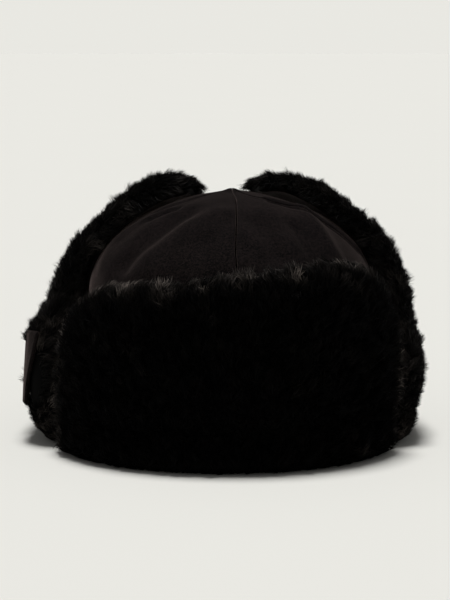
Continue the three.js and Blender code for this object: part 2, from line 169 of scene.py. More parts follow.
@dataclass(frozen=True)
class CrownForm:
    """The outer face of the crown's cloth: a rounded wall that flares to the rim, under a dome."""

    half_width: float = 92.0
    half_depth: float = 102.0
    squareness: float = 2.2
    rim_z: float = 12.0
    shoulder_z: float = 95.0
    apex_z: float = 158.0
    dome_power: float = 1.8
    rim_flare: float = 0.03
    lean_by: float = 4.5
    lean_full_z: float = 120.0
    ray_centre_z: float = 60.0
    ray_length: float = 200.0
    probe: float = 0.05

    def lean(self, z: np.ndarray) -> np.ndarray:
        """How far the crown's middle leans to the right at a height."""
        return self.lean_by * np.clip(np.asarray(z) / self.lean_full_z, 0, 1)

    def steps(self, z: np.ndarray) -> tuple[np.ndarray, np.ndarray]:
        """How far down the wall and how far up the dome a height is.

        Args:
            z: Heights.

        Returns:
            The share of the wall that is above each height, and the share of the dome below it.
        """
        below = np.maximum(self.shoulder_z - z, 0) / (self.shoulder_z - self.rim_z)
        above = np.maximum(z - self.shoulder_z, 0) / (self.apex_z - self.shoulder_z)
        return below, above

    def section(self, z: np.ndarray) -> np.ndarray:
        """The width of the section at a height.

        Args:
            z: Heights.

        Returns:
            The widths, as shares of the width at the shoulder.
        """
        below, above = self.steps(np.asarray(z, float))
        full = 1 + self.dome_power * self.rim_flare * below - above**2
        return np.maximum(full, 0) ** (1 / self.dome_power)

    def level(self, points: np.ndarray) -> np.ndarray:
        """Tells where points are from the outer face.

        Args:
            points: The points.

        Returns:
            Zero on the face, a negative number inside it and a positive one outside.
        """
        x, y, z = np.moveaxis(points, -1, 0)
        wide = np.abs(x - self.lean(z)) / self.half_width
        deep = np.abs(y) / self.half_depth
        share = (wide**self.squareness + deep**self.squareness) ** (1 / self.squareness)
        below, above = self.steps(z)
        return share**self.dome_power + above**2 - 1 - self.dome_power * self.rim_flare * below

    def normals(self, points: np.ndarray) -> np.ndarray:
        """The outward directions at points near the face.

        Args:
            points: The points.

        Returns:
            The directions, at length 1.
        """
        rises = []
        for axis in np.eye(3) * self.probe:
            rises.append(self.level(points + axis) - self.level(points - axis))
        return unit(np.stack(rises, axis=-1))

    def wall(self, azimuth: np.ndarray, z: np.ndarray) -> np.ndarray:
        """Points of the face by azimuth from the front and height.

        Args:
            azimuth: Degrees from the front, towards the right.
            z: Heights, which broadcast with the azimuths.

        Returns:
            The points, with x, y and z last.
        """
        azimuth, z = np.broadcast_arrays(np.radians(azimuth), np.asarray(z, float))
        side, ahead = np.sin(azimuth), np.cos(azimuth)
        wide = (np.abs(side) / self.half_width) ** self.squareness
        deep = (np.abs(ahead) / self.half_depth) ** self.squareness
        radius = self.section(z) / (wide + deep) ** (1 / self.squareness)
        return np.stack([self.lean(z) + radius * side, -radius * ahead, z], axis=-1)

    def flank(self, side: Side, y: np.ndarray, rise: float) -> np.ndarray:
        """Points of the face on one side, at depths y.

        Args:
            side: Left or right.
            y: Depths.
            rise: Below 0, millimetres under the ray centre. From 0, degrees of slope up from it.

        Returns:
            The points, one for each depth.
        """
        y = np.asarray(y, float)
        if rise < 0:
            z = np.full_like(y, self.ray_centre_z + rise)
            deep = (np.abs(y) / self.half_depth) ** self.squareness
            wide = (self.section(z) ** self.squareness - deep) ** (1 / self.squareness)
            return np.stack([self.lean(z) + side.value * self.half_width * wide, y, z], axis=-1)
        slope = math.radians(rise)
        centre = np.stack(
            [np.full_like(y, self.lean(self.ray_centre_z)), y, np.full_like(y, self.ray_centre_z)],
            axis=-1,
        )
        run = np.array([side.value * math.cos(slope), 0.0, math.sin(slope)])
        reach, _ = crossing(
            lambda length: self.level(centre + run * length[:, None]) > 0,
            np.full_like(y, self.ray_length),
        )
        return centre + run * reach[:, None]


def walked(grid: np.ndarray, axis: int) -> np.ndarray:
    """The distance walked along a grid of points.

    Args:
        grid: The points, in rows and columns.
        axis: 0 to walk up the rows, 1 to walk across the columns.

    Returns:
        The distance of each point from the first line.
    """
    steps = np.linalg.norm(np.diff(grid, axis=axis), axis=-1)
    start = np.zeros_like(np.take(steps, [0], axis=axis))
    return np.concatenate([start, np.cumsum(steps, axis=axis)], axis=axis)


@dataclass
class Slab:
    """Cloth or a fur pad as two equal grids of points, its outer and its inner face."""

    outer: np.ndarray
    inner: np.ndarray

    def edge_distances(self) -> tuple[np.ndarray, np.ndarray, np.ndarray]:
        """Distances on the inner face to the nearer side edge, to the foot's row and to the top."""
        across, up = walked(self.inner, 1), walked(self.inner, 0)
        return np.minimum(across, across[:, -1:] - across), up, up[-1:] - up

    def rounded(self, side: float, foot: float, top: float, seat: float) -> "Slab":
        """A copy whose faces close in on each other in a quarter round at the edges.

        Args:
            side: Radius at the two side edges, 0 for none.
            foot: Radius at the first row.
            top: Radius at the last row.
            seat: Where the faces meet, from 0 on the inner face to 1 on the outer.

        Returns:
            The rounded slab.
        """
        full = 1.0
        for distance, radius in zip(self.edge_distances(), (side, foot, top)):
            if radius > 0:
                inward = 1 - np.clip(distance / radius, LEAST_EDGE, 1)
                full = full * np.sqrt(1 - inward**2)[..., None]
        middle = self.inner + (self.outer - self.inner) * seat
        return Slab(middle + (self.outer - middle) * full, middle + (self.inner - middle) * full)

    def hemmed(self, radius: float) -> "Slab":
        """A copy that is rounded alike at all its edges."""
        return self.rounded(side=radius, foot=radius, top=radius, seat=0.5)

    def normals(self) -> np.ndarray:
        """The outward directions of the outer face.

        Returns:
            One direction for each of its points.
        """
        up, across = np.gradient(self.outer, axis=0), np.gradient(self.outer, axis=1)
        facing = unit(np.cross(across, up))
        away = np.sum(facing * (self.outer - self.inner))
        return facing * np.sign(away)

    def quads(self) -> np.ndarray:
        """The faces of the closed slab, whose points are the outer grid's and then the inner's.

        Returns:
            Four point numbers for each face, in the order that turns it outwards.
        """
        rows, columns = self.outer.shape[:2]
        top = np.arange(rows * columns).reshape(rows, columns)
        under = top + rows * columns
        cells = [top[:-1, :-1], top[:-1, 1:], top[1:, 1:], top[1:, :-1]]
        outer = np.stack(cells, axis=-1).reshape(-1, 4)
        rim = np.concatenate([top[0], top[1:, -1], top[-1, -2::-1], top[-2:0:-1, 0]])
        after = np.roll(rim, -1)
        walls = np.stack([after, rim, rim + rows * columns, after + rows * columns], axis=-1)
        inner = under.ravel()[outer][:, ::-1]
        faces = np.concatenate([outer, inner, walls])
        a, b, c, d = (self.points()[faces[:, k]] for k in range(4))
        volume = np.sum(a * np.cross(b, c)) + np.sum(a * np.cross(c, d))
        return faces if volume > 0 else faces[:, ::-1]

    def points(self) -> np.ndarray:
        """The points of both faces."""
        return np.concatenate([self.outer.reshape(-1, 3), self.inner.reshape(-1, 3)])

    def cells(self) -> np.ndarray:
        """The areas of the outer face's cells."""
        lift, run = np.diff(self.outer, axis=0)[:, :-1], np.diff(self.outer, axis=1)[:-1]
        return np.linalg.norm(np.cross(lift, run), axis=-1)

    def cut(self) -> tuple[float, float, float]:
        """The size that the cloth was cut to before it was shaped.

        Returns:
            Its width and length in metres, and its area in square metres.
        """
        width = walked(self.inner, 1)[:, -1].max() * MM
        length = walked(self.inner, 0)[-1].max() * MM
        return width, length, min(float(self.cells().sum()) * MM**2, width * length)


@dataclass(frozen=True)
class Strands:
    """Hair as narrow tapered strips, each with two points at its root, two midway and one at its tip."""

    points: np.ndarray
    along: np.ndarray
    # How pale each hair's tip is: random variation, with painted highlights on the pads' rims and painted
    # shade on the front and neck flaps.
    tone: np.ndarray

    def triangles(self) -> np.ndarray:
        """The strips' faces."""
        first = np.arange(0, len(self.points), len(HAIR_ALONG))[:, None, None]
        return (first + np.array(HAIR_FACES)).reshape(-1, 3)


@dataclass(frozen=True)
class Pile:
    """How the fur's hair stands on its pad, with lengths in millimetres.

    Hair that faces down is shorter and lies flatter: these are the under_ values. A tone is how pale the
    hairs' tips are, on the pad's face and near its top and sides. The paleness near the top and sides is a
    painted highlight, where light catches the rims' hair, and the face's tone is painted shade, set much
    lower on the front and neck flaps than on the ear flaps; the rest of the tone varies at random from patch
    to patch, lock to lock and hair to hair.
    """

    length: float = 10.0
    lengths: tuple[float, float] = (0.7, 1.15)
    width: float = 0.6
    middle_width: float = 0.85
    sunk: float = 1.0
    lean: float = 0.5
    scatter: float = 0.36
    edge_lean: float = 0.8
    edge_reach: float = 7.5
    under_gain: float = 1.6
    under_lift: float = 0.9
    under_shorter: float = 0.55
    rise_out: float = 0.75
    rise_along: float = 0.5
    middle_at: float = 0.52
    lock_spacing: float = 5.0
    lock_scatter: float = 0.25
    lock_lengths: tuple[float, float] = (0.85, 1.5)
    lock_pull: float = 0.5
    lock_pulls: tuple[float, float] = (0.3, 1.4)
    lock_pull_midway: float = 0.22
    # Painted shade: the face tone is far lower here, for the front and neck flaps, than on the ear flaps.
    face_tone_with_painted_shade: float = 0.0015
    # Painted highlights: hair tips pale near the pad's top and side edges, where light catches the rims; the
    # side ones only below a height.
    top_rim_painted_highlight: float = 0.075
    side_rim_painted_highlight: float = 0.2
    side_highlight_to_z: float = 260.0
    side_highlight_fade: float = 40.0
    tone_spread: float = 1.15
    tone_by_patch: float = 0.75
    tone_by_lock: float = 0.6
    tone_by_hair: float = 0.5
    patch_size: float = 17.0
    patch_sizes: tuple[float, float] = (0.6, 1.6)
    patch_waves: int = 6
    least_z: float = 0.3

    def grow(self, slab: Slab, count: int, seed: int, bare: np.ndarray | None = None) -> Strands:
        """Grows hair all over a pad's outer face.

        Args:
            slab: The pad.
            count: How many hairs.
            seed: The seed of the random draws.
            bare: For each cell of the face, whether it has no hair.

        Returns:
            The hair.
        """
        rng = np.random.default_rng(seed)
        areas = slab.cells()
        if bare is not None:
            areas = np.where(bare, 0.0, areas)
        filled = np.cumsum(areas.ravel())
        picks = (np.arange(count) + rng.random(count)) / count * filled[-1]
        cell = np.minimum(np.searchsorted(filled, picks), areas.size - 1)
        row, column = np.divmod(cell, areas.shape[1])
        up, over = rng.random((2, count, 1))

        def at(grid: np.ndarray) -> np.ndarray:
            """Reads a grid at the roots.

            Args:
                grid: Values at the pad's points.

            Returns:
                One value for each hair.
            """
            low = grid[row, column] * (1 - over) + grid[row, column + 1] * over
            high = grid[row + 1, column] * (1 - over) + grid[row + 1, column + 1] * over
            return low * (1 - up) + high * up

        out = unit(at(slab.normals()))
        lay = unit(at(np.gradient(slab.outer, axis=0)))
        side, _, top = slab.edge_distances()
        at_top = np.exp(-((at(top[..., None]) / self.edge_reach) ** 2))
        at_side = np.exp(-((at(side[..., None]) / self.edge_reach) ** 2))
        back = -unit(at(Slab(slab.inner, 2 * slab.inner - slab.outer).normals()))
        root = at(slab.outer) - out * self.sunk
        under = np.clip(-out[:, 2:] * self.under_gain, 0, 1)
        head = out + lay * self.lean + rng.normal(0, self.scatter, (count, 3))
        head = unit(head + back * self.edge_lean * np.maximum(at_top, at_side))
        fall = np.array([0, 0, 1.0]) * np.minimum(head[:, 2:], 0)
        head = unit(head - fall * under * self.under_lift)
        length = self.length * rng.uniform(*self.lengths, (count, 1))
        length = length * (1 - self.under_shorter * under)
        # The tips' paleness: painted shade through the face tone, and painted highlights near the top and
        # side edges.
        low = np.clip((self.side_highlight_to_z - root[:, 2]) / self.side_highlight_fade, 0, 1)
        tone = self.face_tone_with_painted_shade + self.top_rim_painted_highlight * at_top[:, 0] + self.side_rim_painted_highlight * at_side[:, 0] * low
        return self.combed(rng, root, out, head * length, tone, float(areas.sum()))

    def patches(self, rng: np.random.Generator, at: np.ndarray) -> np.ndarray:
        """Draws a smooth random value that changes from patch to patch.

        Args:
            rng: The random draws.
            at: The points to read it at.

        Returns:
            One value for each point, of unit spread.
        """
        total = np.zeros(len(at))
        for _ in range(self.patch_waves):
            heading = unit(rng.normal(0, 1, 3)) * math.tau
            wave = heading / (self.patch_size * rng.uniform(*self.patch_sizes))
            total += np.sin(at @ wave + rng.uniform(0, math.tau))
        return total / math.sqrt(self.patch_waves / 2)

    def combed(
        self,
        rng: np.random.Generator,
        root: np.ndarray,
        out: np.ndarray,
        reach: np.ndarray,
        tone: np.ndarray,
        area: float,
    ) -> Strands:
        """Draws the hairs together into locks and gives them their width.

        Args:
            rng: The random draws.
            root: The hairs' roots.
            out: The pad's outward directions at the roots.
            reach: Where the hairs' tips would lie from their roots if nothing drew them together.
            tone: How pale the hairs' tips are, before it varies from lock to lock.
            area: The area that has hair.

        Returns:
            The hair.
        """
        count = len(root)
        locks = max(int(area / self.lock_spacing**2), 1)
        chosen = rng.choice(count, min(locks, count), replace=False)
        tree = KDTree(len(chosen))
        for k, place in enumerate(root[chosen]):
            tree.insert(place, k)
        tree.balance()
        lock = np.array([tree.find(place)[1] for place in root])
        length = np.linalg.norm(reach, axis=1, keepdims=True)
        lock_head = unit(reach[chosen]) + rng.normal(0, self.lock_scatter, (len(chosen), 3))
        lock_length = length[chosen] * rng.uniform(*self.lock_lengths, (len(chosen), 1))
        lock_tip = (root[chosen] + unit(lock_head) * lock_length)[lock]
        lock_tone = rng.normal(0, 1, len(chosen))[lock]
        pull = self.lock_pull * rng.uniform(*self.lock_pulls, (count, 1))
        drawn = (lock_tip - root - reach) * pull
        tip = root + reach + drawn
        rise = unit(out * self.rise_out + reach / length * self.rise_along)
        middle = root + rise * length * self.middle_at + drawn * self.lock_pull_midway
        for place in (middle, tip):
            place[:, 2] = np.maximum(place[:, 2], self.least_z)
        across = unit(np.cross(tip - root, rng.normal(0, 1, (count, 3)))) * self.width / 2
        narrower = across * self.middle_width
        points = np.stack(
            [root - across, root + across, middle - narrower, middle + narrower, tip], axis=1
        )
        varied = self.tone_by_patch * self.patches(rng, root) + self.tone_by_lock * lock_tone
        varied = varied + self.tone_by_hair * rng.normal(0, 1, count)
        tone = np.clip(tone * np.exp(self.tone_spread * varied), 0, 1)
        along = np.tile(HAIR_ALONG, count)
        return Strands(points.reshape(-1, 3), along, np.repeat(tone, len(HAIR_ALONG)))


class Wire:
    """A value of a material's graph, which ordinary arithmetic can be written with."""

    def __init__(self, board: "Board", socket: bpy.types.NodeSocket) -> None:
        """Keeps the board that the value belongs to and the socket that gives it."""
        self.board = board
        self.socket = socket

    def __add__(self, other: "Wire | float") -> "Wire":
        """The sum."""
        return self.board.maths("ADD", self, other)

    def __sub__(self, other: "Wire | float") -> "Wire":
        """The difference."""
        return self.board.maths("SUBTRACT", self, other)

    def __rsub__(self, other: float) -> "Wire":
        """The difference the other way round."""
        return self.board.maths("SUBTRACT", other, self)

    def __mul__(self, other: "Wire | float") -> "Wire":
        """The product."""
        return self.board.maths("MULTIPLY", self, other)

    def __truediv__(self, other: "Wire | float") -> "Wire":
        """The quotient."""
        return self.board.maths("DIVIDE", self, other)

    def __pow__(self, other: "Wire | float") -> "Wire":
        """The power."""
        return self.board.maths("POWER", self, other)

    __radd__ = __add__
    __rmul__ = __mul__

    def held(self) -> "Wire":
        """The value kept from 0 to 1."""
        return Wire(self.board, self.board.node("ShaderNodeClamp", {}, {"Value": self}).outputs[0])


Colour = tuple[float, float, float]


class Board:
    """The nodes of one material or of the surroundings, linked as they are made."""

    def __init__(self, tree: bpy.types.NodeTree) -> None:
        """Starts on an empty node tree."""
        tree.nodes.clear()
        self.tree = tree

    def node(self, kind: str, settings: dict, inputs: dict) -> bpy.types.Node:
        """Adds one node.

        Args:
            kind: The node's type.
            settings: Its properties, which are set first.
            inputs: Values or wires for its sockets, by name or number.

        Returns:
            The node.
        """
        made = self.tree.nodes.new(kind)
        for name, value in settings.items():
            setattr(made, name, value)
        for name, value in inputs.items():
            socket = made.inputs[name]
            if isinstance(value, Wire):
                self.tree.links.new(value.socket, socket)
            else:
                socket.default_value = value
        return made

    def maths(self, operation: str, *values: "Wire | float") -> Wire:
        """A Math node on wires and numbers."""
        made = self.node("ShaderNodeMath", {"operation": operation}, dict(enumerate(values)))
        return Wire(self, made.outputs[0])

    def blend(self, share: Wire, first: "Wire | Colour", second: "Wire | Colour") -> Wire:
        """Mixes two colours.

        Args:
            share: How much of the second, from 0 to 1.
            first: The colour at 0.
            second: The colour at 1.

        Returns:
            The mixed colour.
        """
        colours = [c if isinstance(c, Wire) else (*c, 1.0) for c in (first, second)]
        inputs = {"Factor": share, 6: colours[0], 7: colours[1]}
        made = self.node("ShaderNodeMix", {"data_type": "RGBA"}, inputs)
        return Wire(self, made.outputs[2])

    def noise(self, scale: float, detail: float, rough: float = 0.5) -> Wire:
        """Makes noise in the object's own metres.

        Args:
            scale: How many of its grains go into a metre.
            detail: How many finer layers it has.
            rough: How strong the finer layers are.

        Returns:
            A value round 0.5.
        """
        place = Wire(self, self.node("ShaderNodeTexCoord", {}, {}).outputs["Object"])
        inputs = {"Vector": place, "Scale": scale, "Detail": detail, "Roughness": rough}
        return Wire(self, self.node("ShaderNodeTexNoise", {}, inputs).outputs["Fac"])

    def attribute(self, name: str) -> Wire:
        """A number that the mesh holds for each point."""
        made = self.node("ShaderNodeAttribute", {"attribute_name": name}, {})
        return Wire(self, made.outputs["Fac"])

    def bump(self, height: Wire, depth: float, strength: float) -> Wire:
        """A normal raised by a height, whose full range is depth metres."""
        inputs = {"Height": height, "Distance": depth, "Strength": strength}
        return Wire(self, self.node("ShaderNodeBump", {}, inputs).outputs[0])

    def surface(self, **inputs: "Wire | float | Colour") -> None:
        """Ends the material in one principled surface.

        Args:
            inputs: Values or wires for its sockets, whose names have underscores for spaces.
        """
        named = {}
        for name, value in inputs.items():
            named[name.replace("_", " ")] = (*value, 1.0) if isinstance(value, tuple) else value
        shader = self.node("ShaderNodeBsdfPrincipled", {}, named)
        self.node("ShaderNodeOutputMaterial", {}, {"Surface": Wire(self, shader.outputs[0])})


def new_material(name: str) -> tuple[bpy.types.Material, Board]:
    """Makes a new material.

    Args:
        name: Its name.

    Returns:
        The material and the board that its nodes are made on.
    """
    made = bpy.data.materials.new(name)
    made.use_nodes = True
    return made, Board(made.node_tree)


@dataclass(frozen=True)
class WoolFinish:
    """Felted black wool cloth: matt, with a short soft nap and a faint mottle.

    A scale is the number of grains in a metre, and a gain how strongly they change the colour.
    """

    name: str = "felted_black_wool"
    deep: Colour = (0.0016, 0.0013, 0.0014)
    worn: Colour = (0.0126, 0.0092, 0.0089)
    paleness: float = 0.42
    mottle_scale: float = 42.0
    mottle_gain: float = 1.2
    nap_scale: float = 700.0
    nap_gain: float = 2.6
    nap_relief: float = 0.6
    nap_depth: float = 0.0006
    fibre_scale: float = 1500.0
    fibre_gain: float = 3.6
    fibre_relief: float = 0.4
    roughness: float = 0.78
    nap_roughness: float = 0.2

    def material(self) -> bpy.types.Material:
        """Makes the material.

        Returns:
            The material.
        """
        made, board = new_material(self.name)
        mottle = board.noise(self.mottle_scale, detail=3.0)
        nap = board.noise(self.nap_scale, detail=3.0, rough=0.65)
        fibre = board.noise(self.fibre_scale, detail=2.0, rough=0.7)
        share = (fibre - 0.5) * self.fibre_gain + (nap - 0.5) * self.nap_gain
        share = (share + (mottle - 0.5) * self.mottle_gain + self.paleness).held()
        height = nap * self.nap_relief + fibre * self.fibre_relief
        board.surface(
            Base_Color=board.blend(share, self.deep, self.worn),
            Roughness=(nap * self.nap_roughness + self.roughness).held(),
            Normal=board.bump(height, self.nap_depth, strength=0.6),
            Specular_IOR_Level=0.03,
            Sheen_Weight=0.17,
            Sheen_Roughness=0.27,
            Sheen_Tint=(0.69, 0.53, 0.49),
        )
        return made


@dataclass(frozen=True)
class FurFinish:
    """Black faux fur whose hairs pale to a brown-grey at their tips."""

    name: str = "black_faux_fur"
    root: Colour = (0.0012, 0.0011, 0.0011)
    # The tip colour is the fur's own paler tip and also the colour of the painted highlights on the rims'
    # hair.
    tip: Colour = (0.380, 0.325, 0.290)
    tip_power: float = 1.6
    roughness: float = 0.72
    tip_polish: float = 0.2

    def material(self) -> bpy.types.Material:
        """Makes the material.

        Returns:
            The material.
        """
        made, board = new_material(self.name)
        along = board.attribute("along")
        # The tone holds random variation, painted highlights along the pads' rims and painted shade on the
        # front and neck flaps' faces.
        tone = board.attribute("tone")
        share = (along**self.tip_power * tone).held()
        board.surface(
            Base_Color=board.blend(share, self.root, self.tip),
            Roughness=(self.roughness - along * self.tip_polish).held(),
            Specular_IOR_Level=0.05,
        )
        return made


@dataclass(frozen=True)
class FloorFinish:
    """Smooth pale studio paper."""

    name: str = "studio_paper"
    pale: Colour = (0.800, 0.793, 0.748)
    deep: Colour = (0.792, 0.785, 0.741)
    cloud_scale: float = 3.0

    def material(self) -> bpy.types.Material:
        """Makes the material.

        Returns:
            The material.
        """
        made, board = new_material(self.name)
        clouds = board.noise(self.cloud_scale, detail=2.0)
        board.surface(
            Base_Color=board.blend(clouds, self.deep, self.pale),
            Roughness=0.95,
            Specular_IOR_Level=0.0,
        )
        return made


@dataclass
class Workshop:
    """Makes the pieces of the hat from points and faces, and keeps their materials."""

    finishes: dict[Slot, bpy.types.Material]
    fur_fill: float = 0.4
    map_margin: float = 0.01
    pad_map_at: float = 0.005
    pad_map_width: float = 0.03
    pad_map_step: float = 0.04
    hair_map_at: float = 0.09
    hair_map_reach: float = 0.89
    hair_map_width: float = 0.004

    def piece(
        self, name: str, slot: Slot, points: np.ndarray, faces: list, stands_for: tuple[str, ...]
    ) -> bpy.types.Object:
        """Makes one piece, dressed and riding on the hat's body.

        Args:
            name: The piece's name.
            slot: The material slot that it takes its finish from.
            points: Its points, in millimetres.
            faces: Its faces, as lists of point numbers.
            stands_for: The frame's nodes that it replaces.

        Returns:
            The piece.
        """
        mesh = bpy.data.meshes.new(name)
        mesh.from_pydata((points * MM).tolist(), [], faces)
        mesh.polygons.foreach_set("use_smooth", np.ones(len(mesh.polygons), bool))
        mesh.materials.append(self.finishes[slot])
        made = bpy.data.objects.new(name, mesh)
        bpy.context.scene.collection.objects.link(made)
        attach(made, BODY)
        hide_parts(*stands_for)
        log.info("%s: %d faces", name, len(mesh.polygons))
        return made

    def cloth(
        self, name: str, slab: Slab, stands_for: str, held: str, rests_on: tuple[str, ...]
    ) -> None:
        """Args:
            name: The piece's name.
            slab: Its shape.
            stands_for: The frame's node that it replaces.
            held: How the cloth is held; not used.
            rests_on: The nodes that it lies on or is sewn to; not used.
        """
        made = self.piece(name, Slot.WOOL, slab.points(), slab.quads().tolist(), (stands_for,))
        width, length, area = slab.cut()
        log.info("%s: cut %.0f x %.0f mm, %.0f cm2", name, width / MM, length / MM, area * 1e4)

    def fur(self, name: str, slab: Slab, hair: Strands, stands_for: str) -> None:
        """Args:
            name: The piece's name.
            slab: The pad that the hair stands on.
            hair: The hair.
            stands_for: The frame's node that it replaces.
        """
        pad = slab.points()
        points = np.concatenate([pad, hair.points])
        faces = slab.quads().tolist() + (hair.triangles() + len(pad)).tolist()
        made = self.piece(name, Slot.FUR, points, faces, (stands_for,))
        still = np.zeros(len(pad))
        # The tone attribute carries the tips' paleness: random variation, painted rim highlights and painted
        # shade.
        for key, values in (("along", hair.along), ("tone", hair.tone)):
            layer = made.data.attributes.new(key, "FLOAT", "POINT")
            layer.data.foreach_set("value", np.concatenate([still, values]).astype(np.float32))
        self.lay_out(made.data, slab, hair)

    def lay_out(self, mesh: bpy.types.Mesh, slab: Slab, hair: Strands) -> None:
        """Maps a fur piece: its pad in strips on the left, its hairs from dark to pale and root to tip.

        Args:
            mesh: The piece's mesh.
            slab: Its pad.
            hair: Its hair.
        """
        rows, columns = slab.outer.shape[:2]
        up, across = np.mgrid[0 : 1 : rows * 1j, 0 : 1 : columns * 1j]
        pad = self.pad_map_at + self.pad_map_width * across.ravel()
        outer = np.stack([pad, up.ravel()], axis=-1)
        slant = np.tile(HAIR_SIDES, len(hair.tone) // len(HAIR_SIDES)) * self.hair_map_width
        paler = self.hair_map_at + self.hair_map_reach * np.sqrt(hair.tone)
        hairs = np.stack([paler + slant, hair.along], axis=-1)
        places_on_map = np.concatenate([outer, outer + (self.pad_map_step, 0.0), hairs])
        corners = np.zeros(len(mesh.loops), np.int32)
        mesh.loops.foreach_get("vertex_index", corners)
        flat = places_on_map[corners] * (1.0, 1 - 2 * self.map_margin) + (0.0, self.map_margin)
        mesh.uv_layers.new(name="OFBake").data.foreach_set("uv", flat.ravel().astype(np.float32))


@dataclass(frozen=True)
class Seam:
    """A seam of the crown in plan, from the apex outwards."""

    x: tuple[float, ...]
    y: tuple[float, ...]

    def azimuths(self, form: CrownForm, heights: np.ndarray) -> np.ndarray:
        """Finds where the seam crosses the crown's face.

        Args:
            form: The crown's face.
            heights: The heights to find it at.

        Returns:
            Degrees from the front, one for each height.
        """
        walk = np.concatenate([[0.0], np.cumsum(np.hypot(np.diff(self.x), np.diff(self.y)))])

        def at(length: np.ndarray) -> np.ndarray:
            """The seam's points, lengths away from the apex in plan."""
            x, y = np.interp(length, walk, self.x), np.interp(length, walk, self.y)
            return np.stack([x, y, heights], axis=-1)

        _, reach = crossing(
            lambda length: form.level(at(length)) > 0, np.full_like(heights, walk[-1])
        )
        x, y, _ = np.moveaxis(at(reach), -1, 0)
        return np.degrees(np.arctan2(x - form.lean(heights), -y))


@dataclass(frozen=True)
class Fold:
    """A soft ridge (positive height) or dent along a line in plan, in the crown's upper front."""

    path: tuple[tuple[float, float], ...]
    width: float
    height: float

    def relief(self, points: np.ndarray) -> np.ndarray:
        """How far the cloth stands proud.

        Args:
            points: Points of the crown's face.

        Returns:
            The height at each point.
        """
        nearest = np.full(points.shape[:-1], np.inf)
        for start, end in zip(self.path, self.path[1:]):
            run, away = np.subtract(end, start), points[..., :2] - start
            along = np.clip(away @ run / (run @ run), 0, 1)
            nearest = np.minimum(nearest, np.linalg.norm(away - along[..., None] * run, axis=-1))
        return self.height * np.exp(-((nearest / self.width) ** 2))


